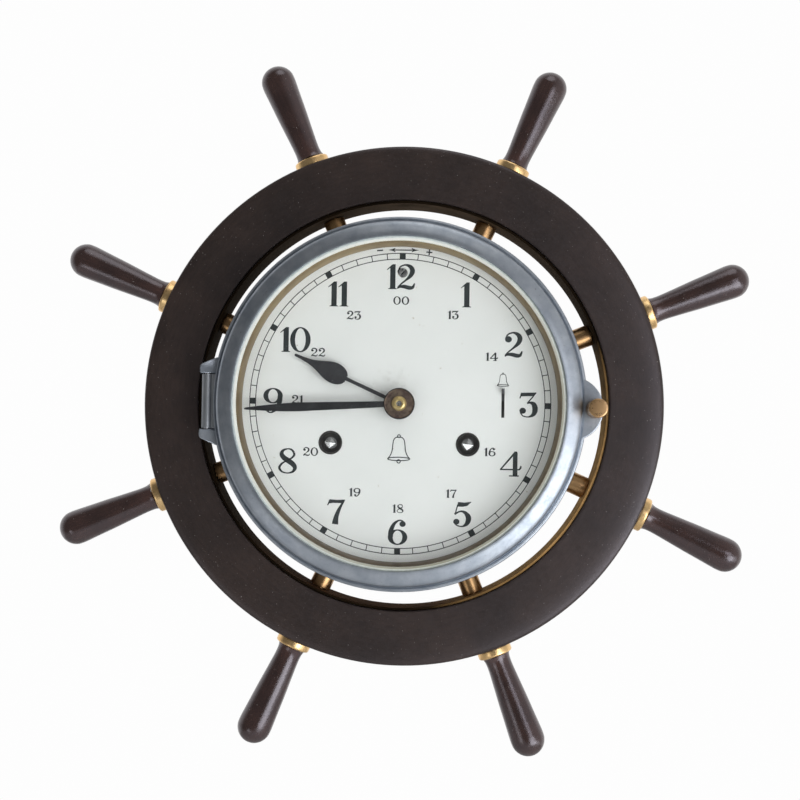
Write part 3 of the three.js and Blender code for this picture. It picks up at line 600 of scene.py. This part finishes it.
KNOB = rounded([(0, 60.4), (2, 60.4, 0.3), (2, 66.5), (4.3, 66.5, 0.3), (4.3, 82, 0.8), (0, 82)])
piece("thumb_screw_turned", [moved(revolve(KNOB, 64, False), shift(KNOB_X, LATCH_Y, 0))], KNOB_BRASS,
      "thumb_screw", ["thumb_screw"])

# dial

DIAL_R, DIAL_BACK, DIAL_FRONT = 78.5, 54, 55
WINDING = [(-31.5, -18.1), (31.5, -18.1)]
REGULATOR, REGULATOR_TURN = (0.7, 60.4), 52
SLOT_LEFT, SLOT_RIGHT, SLOT_LOW, SLOT_TOP = 46.85, 47.95, -5.6, 7.6
slot_hole = [(SLOT_LEFT, SLOT_LOW), (SLOT_RIGHT, SLOT_LOW), (SLOT_RIGHT, SLOT_TOP), (SLOT_LEFT, SLOT_TOP)]
dial_holes = [circle(4), circle(2.2, *REGULATOR), slot_hole] + [circle(5.5, x, y, 64) for x, y in WINDING]
feet = [moved(revolve(rounded([(0, 48.3), (1.5, 48.3), (1.5, 54.2), (0, 54.2)]), 20, False), shift(x, y, 0))
        for x, y in ((33, 57), (-66, 0), (33, -57))]
face = plate(circle(DIAL_R, count=RING), DIAL_BACK, DIAL_FRONT, 0.0, dial_holes)
piece("dial_plate", [face] + feet, DIAL_WHITE, "case", ["dial"])

SQUARE_R, SQUARE_TURN, SQUARE_LOW, SQUARE_TOP, SQUARE_POINT = 2.65, 82, 50, 56.1, 56.95
for side, (x, y) in zip(("strike", "time"), WINDING):
    # a dark cup in each winding hole: its rim is the hole's black ring, its dark inside is painted shade for the
    # hole's depth
    lining = rounded([(2.75, 50.4), (5.4, 50.4), (5.4, 55.3, 0.3), (4.75, 55.3, 0.3), (4.5, 51.2), (2.75, 51.2)])
    piece(f"{side}_winding_lining", [moved(revolve(lining, 64), shift(x, y, 0))], LINING_AND_PAINTED_SHADE, "case")

    square = arc(SQUARE_R, SQUARE_TURN, 270, 3)
    verts, faces = plate(square, SQUARE_LOW, SQUARE_TOP)
    # a point takes the place of the flat top
    faces = [f for f in faces if not all(verts[i][2] == SQUARE_TOP for i in f)]
    faces += [[8 + k, 8 + (k + 1) % 4, 12] for k in range(4)]
    tip = (verts + [(*p, SQUARE_TOP) for p in square] + [(0, 0, SQUARE_POINT)], faces)
    shaft = revolve(rounded([(0, 24.3), (1.6, 24.3), (1.6, 27), (2.4, 27), (2.4, 50.2), (0, 50.2)]), 32, False)
    teeth = [(r * math.cos(a), r * math.sin(a)) for k in range(12)
             for r, a in ((8.3, math.radians(30 * k)), (6.2, math.radians(30 * k + 4)))]
    ratchet = plate(teeth, 48.5, 50)
    piece(f"{side}_winding_square", [moved(shape, shift(x, y, 0)) for shape in (tip, shaft, ratchet)],
          SQUARE_STEEL, f"{side}_winding_arbor", [f"{side}_winding_arbor"], sharp=12)

slot_side = arc(2.05, 8, 164, 20)
head = [plate(outline, 54.3, 55.6, 0.15) for outline in (slot_side, [(-x, -y) for x, y in slot_side])]
head = [moved(half, turn(REGULATOR_TURN)) for half in head]
stem = revolve(rounded([(0, 30), (1.5, 30), (1.5, 54.0), (2.0, 54.0), (2.0, 54.5), (0, 54.5)]), 32, False)
finger = block(-0.8, 0.8, -5, 0, 30.5, 32, 0.1)
piece("regulator_slotted", [moved(shape, shift(*REGULATOR, 0)) for shape in (*head, stem, finger)],
      REGULATOR_STEEL, "regulator_arbor", ["regulator_arbor"])

# painted shade: a dark block behind the lever's slot, for the slot's shaded depth
piece("strike_lever_slot_painted_shade", [block(45.1, 49.7, -6.2, 19.3, 52.2, 52.8, 0.1)], LINING_AND_PAINTED_SHADE, "strike_lever")

# printing on the dial

PRINT_Z, PRINT_STEP = 55.02, 0.0004
ink_shapes = []


def next_z():
    """The height of the next printed shape, a hair above the one before."""
    return PRINT_Z + PRINT_STEP * len(ink_shapes)


def printed(outline):
    """One flat printed shape."""
    z = next_z()
    flat = [Vector(p).to_3d() for p in outline]
    ink_shapes.append(([(p.x, p.y, z) for p in flat], [list(t) for t in tessellate_polygon([flat])]))


def band(points, steps=6, closed=False):
    """A printed stroke through points of (x, y, width)."""
    line = [Vector(p) for p in points] if steps == 0 else smooth(points, steps)
    left, right = [], []
    for i, p in enumerate(line):
        a, b = line[max(i - 1, 0)], line[min(i + 1, len(line) - 1)]
        if closed and i in (0, len(line) - 1):
            a, b = line[-2], line[1]
        along = Vector((b.x - a.x, b.y - a.y)).normalized()
        across = Vector((-along.y, along.x)) * p.z / 2
        left.append((p.x + across.x, p.y + across.y))
        right.append((p.x - across.x, p.y - across.y))
    z = next_z()
    n = len(line)
    ink_shapes.append(([(x, y, z) for x, y in left + right],
                       [[i, i + 1, n + i + 1, n + i] for i in range(n - 1)]))


def loop(x, y, rx, ry, side, thin, count=40):
    """A printed oval ring, heavy at its sides."""
    z = next_z()
    verts = []
    for outer in (True, False):
        a, b = (rx, ry) if outer else (rx - side, ry - thin)
        verts += [(x + a * math.cos(2 * math.pi * k / count), y + b * math.sin(2 * math.pi * k / count), z)
                  for k in range(count)]
    ink_shapes.append((verts, [[k, (k + 1) % count, count + (k + 1) % count, count + k] for k in range(count)]))


def digit(name, heavy, thin):
    """Width and strokes of a digit one unit tall; a stroke is a band, a loop, a ball or a flat outline."""
    h, t = heavy, thin
    if name == "0":
        return 0.76, [("loop", (0.38, 0.5, 0.38, 0.505, h, t))]
    if name == "1":
        stem = 0.13
        return 0.36, [
            ("flat", [(0.0, 0.785), (0.02, 0.765), (stem, 0.845), (stem, 0.05), (0.06, 0.02), (0.06, 0),
                      (0.39, 0), (0.39, 0.02), (stem + h, 0.05), (stem + h, 1.0), (0.22, 1.0)])]
    if name == "2":
        return 0.68, [
            ("ball", (0.15, 0.71, h * 0.64)),
            ("band", [(0.045, 0.73, t), (0.13, 0.90, t * 1.2), (0.32, 0.975, t * 1.4), (0.50, 0.90, h * 0.8),
                      (0.575, 0.74, h), (0.51, 0.55, h * 0.8), (0.34, 0.37, h * 0.4), (0.17, 0.22, t * 1.2),
                      (0.04, 0.08, t)]),
            ("band", [(0.02, 0.03, t), (0.12, 0.10, h * 0.5), (0.28, 0.105, h * 0.75), (0.46, 0.06, h * 0.8),
                      (0.59, 0.08, h * 0.6), (0.66, 0.24, t)])]
    if name == "3":
        return 0.70, [
            ("band", [(0.02, 0.75, t), (0.05, 0.84, t), (0.075, 0.97, t)]),
            ("flat", [(0.035, 0.83), (0.54, 0.85), (0.635, 0.995), (0.06, 0.975)]),
            ("band", [(0.615, 0.985, t), (0.46, 0.77, t), (0.29, 0.555, t)]),
            ("band", [(0.29, 0.55, t), (0.40, 0.585, h * 0.45), (0.53, 0.52, h * 0.95),
                      (0.585, 0.33, h * 1.12), (0.53, 0.13, h * 0.85), (0.36, 0.02, t * 1.2), (0.15, 0.05, t),
                      (0.035, 0.19, t)]),
            ("ball", (0.13, 0.26, h * 0.61))]
    if name == "4":
        return 0.78, [
            ("band", [(0.575, 0.985, t * 1.6), (0.30, 0.63, t * 1.4), (0.03, 0.285, t * 1.2)]),
            ("flat", [(0.0, 0.25), (0.68, 0.25), (0.68, 0.255 + t), (0.0, 0.255 + t)]),
            ("band", [(0.655, 0.275, t), (0.725, 0.29, t * 1.3), (0.765, 0.36, t * 1.4), (0.775, 0.43, t)]),
            ("flat", [(0.475, 0.02), (0.465 + h * 0.92, 0.02), (0.465 + h * 0.92, 0.94), (0.62, 1.0),
                      (0.575, 1.0), (0.475, 0.86)]),
            ("flat", [(0.34, 0), (0.70, 0), (0.70, t), (0.34, t)])]
    if name == "5":
        return 0.67, [
            ("flat", [(0.14, 0.80), (0.33, 0.795), (0.50, 0.83), (0.655, 0.985), (0.65, 1.0), (0.40, 0.965),
                      (0.16, 0.985)]),
            ("band", [(0.155, 0.88, t), (0.105, 0.68, t), (0.065, 0.51, t)]),
            ("band", [(0.04, 0.49, t * 1.6), (0.12, 0.55, t * 1.4), (0.28, 0.615, t * 1.4), (0.44, 0.55, h * 0.7),
                      (0.555, 0.36, h * 1.1), (0.50, 0.14, h * 0.85), (0.34, 0.02, t * 1.2), (0.14, 0.05, t),
                      (0.02, 0.17, t)]),
            ("ball", (0.11, 0.20, h * 0.58))]
    if name in "69":
        return 0.74, [
            ("loop", (0.37, 0.305, 0.36, 0.31, h, t)),
            ("band", [(0.11, 0.32, h), (0.125, 0.55, h * 0.95), (0.23, 0.82, h * 0.65), (0.40, 0.965, t * 1.3),
                      (0.54, 0.955, t), (0.63, 0.86, t)]),
            ("ball", (0.55, 0.83, h * 0.58))]
    if name == "7":
        return 0.66, [
            ("band", [(0.0, 0.75, t), (0.04, 0.84, t), (0.075, 0.96, t)]),
            ("flat", [(0.045, 0.815), (0.20, 0.845), (0.58, 0.84), (0.645, 0.985), (0.35, 0.965), (0.075, 0.99)]),
            ("band", [(0.615, 0.96, t * 1.4), (0.50, 0.74, h * 0.5), (0.405, 0.53, h * 0.75),
                      (0.325, 0.28, h * 0.95), (0.285, 0.0, h * 1.3)])]
    return 0.72, [
        ("band", [(0.59, 0.84, h * 0.45), (0.50, 0.95, t * 1.4), (0.36, 0.98, t), (0.20, 0.92, h * 0.5),
                  (0.135, 0.78, h * 0.85), (0.22, 0.63, h), (0.40, 0.50, h * 1.05), (0.57, 0.36, h),
                  (0.635, 0.22, h * 0.8), (0.55, 0.07, h * 0.45), (0.36, 0.015, t), (0.16, 0.07, h * 0.35),
                  (0.06, 0.22, h * 0.5), (0.14, 0.38, h * 0.4), (0.30, 0.49, t * 1.2),
                  (0.50, 0.61, t * 1.4), (0.60, 0.73, h * 0.45), (0.59, 0.84, h * 0.45)])]


def print_digit(name, left, y, size, heavy, thin, stretch):
    """One printed digit that starts at left and is centred on y; a 9 is a 6 turned half round."""
    width, strokes = digit(name, heavy, thin)

    def at(px, py):
        """A point of the digit on the dial."""
        if name == "9":
            px, py = width - px, 1 - py
        return left + px * stretch * size, y + (py - 0.5) * size

    for kind, values in strokes:
        if kind == "band":
            band([(*at(px, py), w * size) for px, py, w in values])
        elif kind == "flat":
            printed([at(*p) for p in values])
        elif kind == "ball":
            printed([at(*p) for p in circle(values[2], values[0], values[1], 24)])
        else:
            rx, ry, side, thin_side = (v * size for v in values[2:])
            loop(*at(*values[:2]), rx * stretch, ry, side, thin_side)


def number(text, x, y, size, heavy, thin, gap, stretch):
    """A printed number centred on a point, its digits stretched sideways."""
    widths = [digit(c, heavy, thin)[0] * stretch for c in text]
    left = x - (sum(widths) + gap * (len(text) - 1)) * size / 2
    for c, width in zip(text, widths):
        print_digit(c, left, y, size, heavy, thin, stretch)
        left += (width + gap) * size


TRACK_IN, TRACK_OUT, LINE = 66.4, 69.1, 0.4
TRACK_CENTRE, TRACK_TURN, HOUR_MARK = (0.2, 0.3), 0.25, 2.75
for radius in (TRACK_IN, TRACK_OUT):
    loop(*TRACK_CENTRE, radius + LINE / 2, radius + LINE / 2, LINE, LINE, 240)
for minute in range(60):
    a = math.radians(6 * minute + TRACK_TURN)
    wide = HOUR_MARK if minute % 5 == 0 else LINE
    band([(TRACK_CENTRE[0] + r * math.sin(a), TRACK_CENTRE[1] + r * math.cos(a), wide)
          for r in (TRACK_IN, TRACK_OUT)], 0)
HOURS = [(29.6, 50.6), (51.9, 28.0), (59.2, 0.5), (51.2, -26.7), (29.6, -50.0), (0, -58.7), (-28.2, -49.7),
         (-51.0, -26.8), (-58.2, 0.8), (-48.4, 29.0), (-29.1, 50.3), (-0.2, 58.6)]
AFTERNOON = {"13": (24.1, 41.2), "14": (41.9, 22.2), "16": (41.7, -21.5), "17": (24.3, -40.8), "18": (0, -48.0),
             "19": (-19.9, -40.8), "20": (-40.5, -22.5), "21": (-47.0, 1.4), "22": (-37.8, 23.2),
             "23": (-21.5, 40.5), "00": (0.1, 47.5)}
HOUR_TYPE = {"size": 11.5, "heavy": 0.198, "thin": 0.05, "gap": 0.02, "stretch": 1.08}
AFTERNOON_TYPE = {"size": 3.85, "heavy": 0.195, "thin": 0.09, "gap": 0.10, "stretch": 1.18}
AFTERNOON_RISE = 0.1
for hour, (x, y) in enumerate(HOURS, 1):
    number(str(hour), x, y, **HOUR_TYPE)
for hour, (x, y) in AFTERNOON.items():
    number(hour, x, y + AFTERNOON_RISE, **AFTERNOON_TYPE)


def bell(x, y, tall, line, clapper):
    """A plain outlined hand bell, centred on a point."""
    half = [(0.0, 0.42), (0.10, 0.41), (0.17, 0.33), (0.20, 0.16), (0.22, -0.02), (0.28, -0.18), (0.36, -0.28)]
    outline = [(-px, py) for px, py in reversed(half[1:])] + half
    band([(x + px * tall, y + py * tall, line) for px, py in outline])
    band([(x + 0.36 * tall * math.cos(b), y + (-0.29 + 0.055 * math.sin(b)) * tall, line)
          for b in (2 * math.pi * k / 24 for k in range(25))], 2, True)
    loop(x, y + 0.455 * tall, 0.045 * tall + line / 2, 0.045 * tall + line / 2, line, line, 20)
    if clapper:
        loop(x, y - 0.37 * tall, 0.055 * tall + line / 2, 0.055 * tall + line / 2, line, line, 20)


bell(0.0, -21.1, 14.0, 0.45, True)
bell(47.3, 11.3, 7.3, 0.28, False)
ARROW_LEFT, ARROW_RIGHT, ARROW_HEAD, ARROW_LINE_IN = -6.2, 7.9, 3.4, 3
MARK_Y, MARK_LINE = 70.9, 0.5
band([(ARROW_LEFT + ARROW_LINE_IN, MARK_Y, MARK_LINE), (ARROW_RIGHT - ARROW_LINE_IN, MARK_Y, MARK_LINE)], 0)
for tip, back in ((ARROW_LEFT, ARROW_HEAD), (ARROW_RIGHT, -ARROW_HEAD)):
    printed([(tip, MARK_Y), (tip + back * 0.5, MARK_Y + 0.35), (tip + back, MARK_Y + 1),
             (tip + back * 0.85, MARK_Y), (tip + back, MARK_Y - 1), (tip + back * 0.5, MARK_Y - 0.35)])
SIGN_LINE = 0.6
for ends in (((-11.4, 70.5), (-8.6, 70.7)), ((11.3, 70.1), (14.1, 69.9)), ((12.6, 68.6), (12.8, 71.4))):
    band([(*p, SIGN_LINE) for p in ends], 0)
# painted shade: dark printed lines along the slot's sides widen its shaded gap
SLOT_PAINTED_SHADE, SLOT_PAINTED_SHADE_PAST = 0.14, 0.15
for x in (SLOT_LEFT - SLOT_PAINTED_SHADE / 2, SLOT_RIGHT + SLOT_PAINTED_SHADE / 2):
    band([(x, SLOT_LOW - SLOT_PAINTED_SHADE_PAST, SLOT_PAINTED_SHADE), (x, SLOT_TOP + SLOT_PAINTED_SHADE_PAST, SLOT_PAINTED_SHADE)], 0)
piece("dial_print", ink_shapes, INK, "case")

# hands


def hand(half, clockwise, low, high, hub, hub_top):
    """A flat hand from its half outline of (half width, distance from the centre), with a hub."""
    line = smooth(half, 5)
    outline = [(w, y) for w, y in line] + [(-w, y) for w, y in reversed(line)]
    blade = plate(outline, low, high, 0.16)
    eye = revolve(rounded([(1.6, low - 0.1), (hub, low - 0.1, 0.2), (hub, hub_top, 0.3), (1.6, hub_top)]), 64)
    return [moved(shape, turn(-clockwise)) for shape in (blade, eye)]


HOUR = [(0.85, 3), (0.85, 14), (0.85, 26.0), (1.5, 26.9), (3.0, 27.9), (4.3, 30.1), (4.8, 33.2), (4.15, 36.7),
        (2.6, 40.7), (1.4, 44.5), (0.85, 48.6), (0.62, 52.3), (0.3, 53.0)]
MINUTE = [(1.25, 3), (1.6, 20), (1.9, 38), (2.02, 46), (1.78, 54), (1.15, 63), (0.66, 68.5), (0.45, 70.4),
          (0.2, 70.8)]
HOUR_ANGLE, MINUTE_ANGLE = 294.5, 267.4
COLLET = rounded([(1.5, 61.5), (7.15, 61.5, 0.2), (7.15, 62.75, 0.3), (6.55, 62.8, 0.2), (6.25, 62.55),
                  (1.5, 62.6)])
NUT = rounded([(1.25, 63.0), (3.4, 63.0, 0.2), (3.4, 64.0, 0.6), (2.3, 65.0, 0.7), (1.25, 64.9, 0.25)])
piece("hour_hand_spade", hand(HOUR, HOUR_ANGLE, 57.5, 58.4, 5.4, 58.9), HOUR_BLACK, "hour_pipe", ["hour_hand"])
piece("minute_hand_lance", hand(MINUTE, MINUTE_ANGLE, 60.3, 61.2, 4.8, 61.4), HAND_BLACK, "minute_arbor",
      ["minute_hand"])
piece("collet_turned", [revolve(COLLET, 96)], COLLET_BRONZE, "minute_arbor", ["hand_collet"])
piece("nut_domed", [revolve(NUT, 64)], NUT_BRASS, "minute_arbor", ["hand_nut"])

# floor, light and camera, in metres in the world frame

WHITE = (0.985, 0.985, 0.985)
FLOOR_R, FLOOR_COUNT = 1.2, 96
FLOOR_AT = (0, -0.15, -0.65)


def floor_finish():
    """Pale floor that fades, for the camera, into the background's white at its rim."""
    f = Finish("pale_floor", rough=0.8)
    colour = f.mix(f.ramp(f.noise(6, 3.0), (0.3, 0.0), (0.7, 1.0)), (0.68, 0.68, 0.68), (0.72, 0.72, 0.72))
    f.feed("Base Color", colour)
    fade = f.span(f.part("X", f.polar()), 0.25, 0.75)
    camera_ray = f.node("ShaderNodeLightPath").outputs["Is Camera Ray"]
    faded = f.node("ShaderNodeMath", {0: fade, 1: camera_ray}, operation="MULTIPLY").outputs[0]
    f.over(faded, f.node("ShaderNodeEmission", {"Color": (*WHITE, 1), "Strength": 1.0}).outputs[0])
    return f.material


floor_mesh = bpy.data.meshes.new("floor")
floor_ring = [(x, y, 0) for x, y in circle(FLOOR_R, count=FLOOR_COUNT)]
floor_mesh.from_pydata(floor_ring, [], [list(range(FLOOR_COUNT))])
floor_mesh.materials.append(floor_finish())
floor = bpy.data.objects.new("floor", floor_mesh)
floor.location = FLOOR_AT
scene.collection.objects.link(floor)

world = bpy.data.worlds.new("studio")
world.use_nodes = True
scene.world = world
tree = world.node_tree


def world_node(kind, links, **values):
    """The first output of a new node of the world."""
    return add_node(tree, kind, links, **values).outputs[0]


# the camera sees white; mirrors see a room, bright at the wall and to the right; all else is lit evenly
path = add_node(tree, "ShaderNodeLightPath").outputs
direction = add_node(tree, "ShaderNodeTexCoord").outputs["Generated"]
towards = add_node(tree, "ShaderNodeSeparateXYZ", {0: direction}).outputs
window = world_node("ShaderNodeMapRange", {"Value": towards["X"], "From Min": 0.15, "From Max": 0.8,
                                           "To Min": 0.13, "To Max": 0.56})
wall = world_node("ShaderNodeMapRange", {"Value": towards["Y"], "From Min": -0.25, "From Max": 0.35,
                                         "To Min": 0.0, "To Max": 0.985})
room = world_node("ShaderNodeMath", {0: wall, 1: window}, operation="MAXIMUM")
mirrored = world_node("ShaderNodeMath", {0: path["Is Glossy Ray"], 1: path["Is Transmission Ray"]},
                      operation="MAXIMUM")
direct = world_node("ShaderNodeMath", {0: path["Diffuse Depth"], 1: 0.5}, operation="LESS_THAN")
mirrored = world_node("ShaderNodeMath", {0: mirrored, 1: direct}, operation="MULTIPLY")
even_light = world_node("ShaderNodeBackground", {"Color": (0.97, 0.985, 1.0, 1), "Strength": 0.55})
room_light = world_node("ShaderNodeBackground", {"Color": room, "Strength": 1.0})
backdrop = world_node("ShaderNodeBackground", {"Color": (*WHITE, 1), "Strength": 1.0})
lit = world_node("ShaderNodeMixShader", {0: mirrored, 1: even_light, 2: room_light})
lit = world_node("ShaderNodeMixShader", {0: path["Is Camera Ray"], 1: lit, 2: backdrop})
tree.nodes.remove(tree.nodes["Background"])
tree.links.new(lit, tree.nodes["World Output"].inputs["Surface"])

CENTRE = (0, -0.06, 0)  # the middle of the clock


def lamp(name, at, size, power, colour=(1, 1, 1)):
    """A disc lamp that looks at the clock's centre."""
    light = bpy.data.lights.new(name, "AREA")
    light.shape = "DISK"
    light.size = size
    light.energy = power
    light.color = colour
    obj = bpy.data.objects.new(name, light)
    obj.location = at
    obj.rotation_euler = (Vector(CENTRE) - Vector(at)).to_track_quat("-Z", "Y").to_euler()
    scene.collection.objects.link(obj)


lamp("main_lower_right", (0.62, -0.82, -0.40), 0.72, 5.1, (0.955, 0.975, 1.0))
lamp("side_lower_right", (0.98, -0.45, -0.55), 0.8, 2.4, (0.96, 0.98, 1.0))
lamp("right", (0.52, -0.94, 0.08), 0.34, 0.75, (0.96, 0.95, 1.0))
lamp("weak_lower_left", (-0.55, -0.75, -0.48), 0.3, 0.4)
lamp("top_fill", (0.15, -0.45, 1.1), 0.8, 2.3)

EYE_AT = (0.0193, -0.8078, -0.0224)
YAW, PITCH, ROLL = (math.radians(a) for a in (1.455, 1.849, 0.851))
camera = bpy.data.cameras.new("photo_camera")
camera.sensor_fit = "HORIZONTAL"
camera.sensor_width = 36.0
camera.lens = 73.78
forward = Vector((-math.sin(YAW) * math.cos(PITCH), math.cos(YAW) * math.cos(PITCH), math.sin(PITCH)))
right = Vector((math.cos(YAW), math.sin(YAW), 0))
up = right.cross(forward)
image_right = right * math.cos(ROLL) + up * math.sin(ROLL)
image_up = up * math.cos(ROLL) - right * math.sin(ROLL)
eye = bpy.data.objects.new("photo_camera", camera)
axes = Matrix((image_right, image_up, -forward)).transposed()
eye.matrix_world = Matrix.Translation(EYE_AT) @ axes.to_4x4()
scene.collection.objects.link(eye)
scene.camera = eye
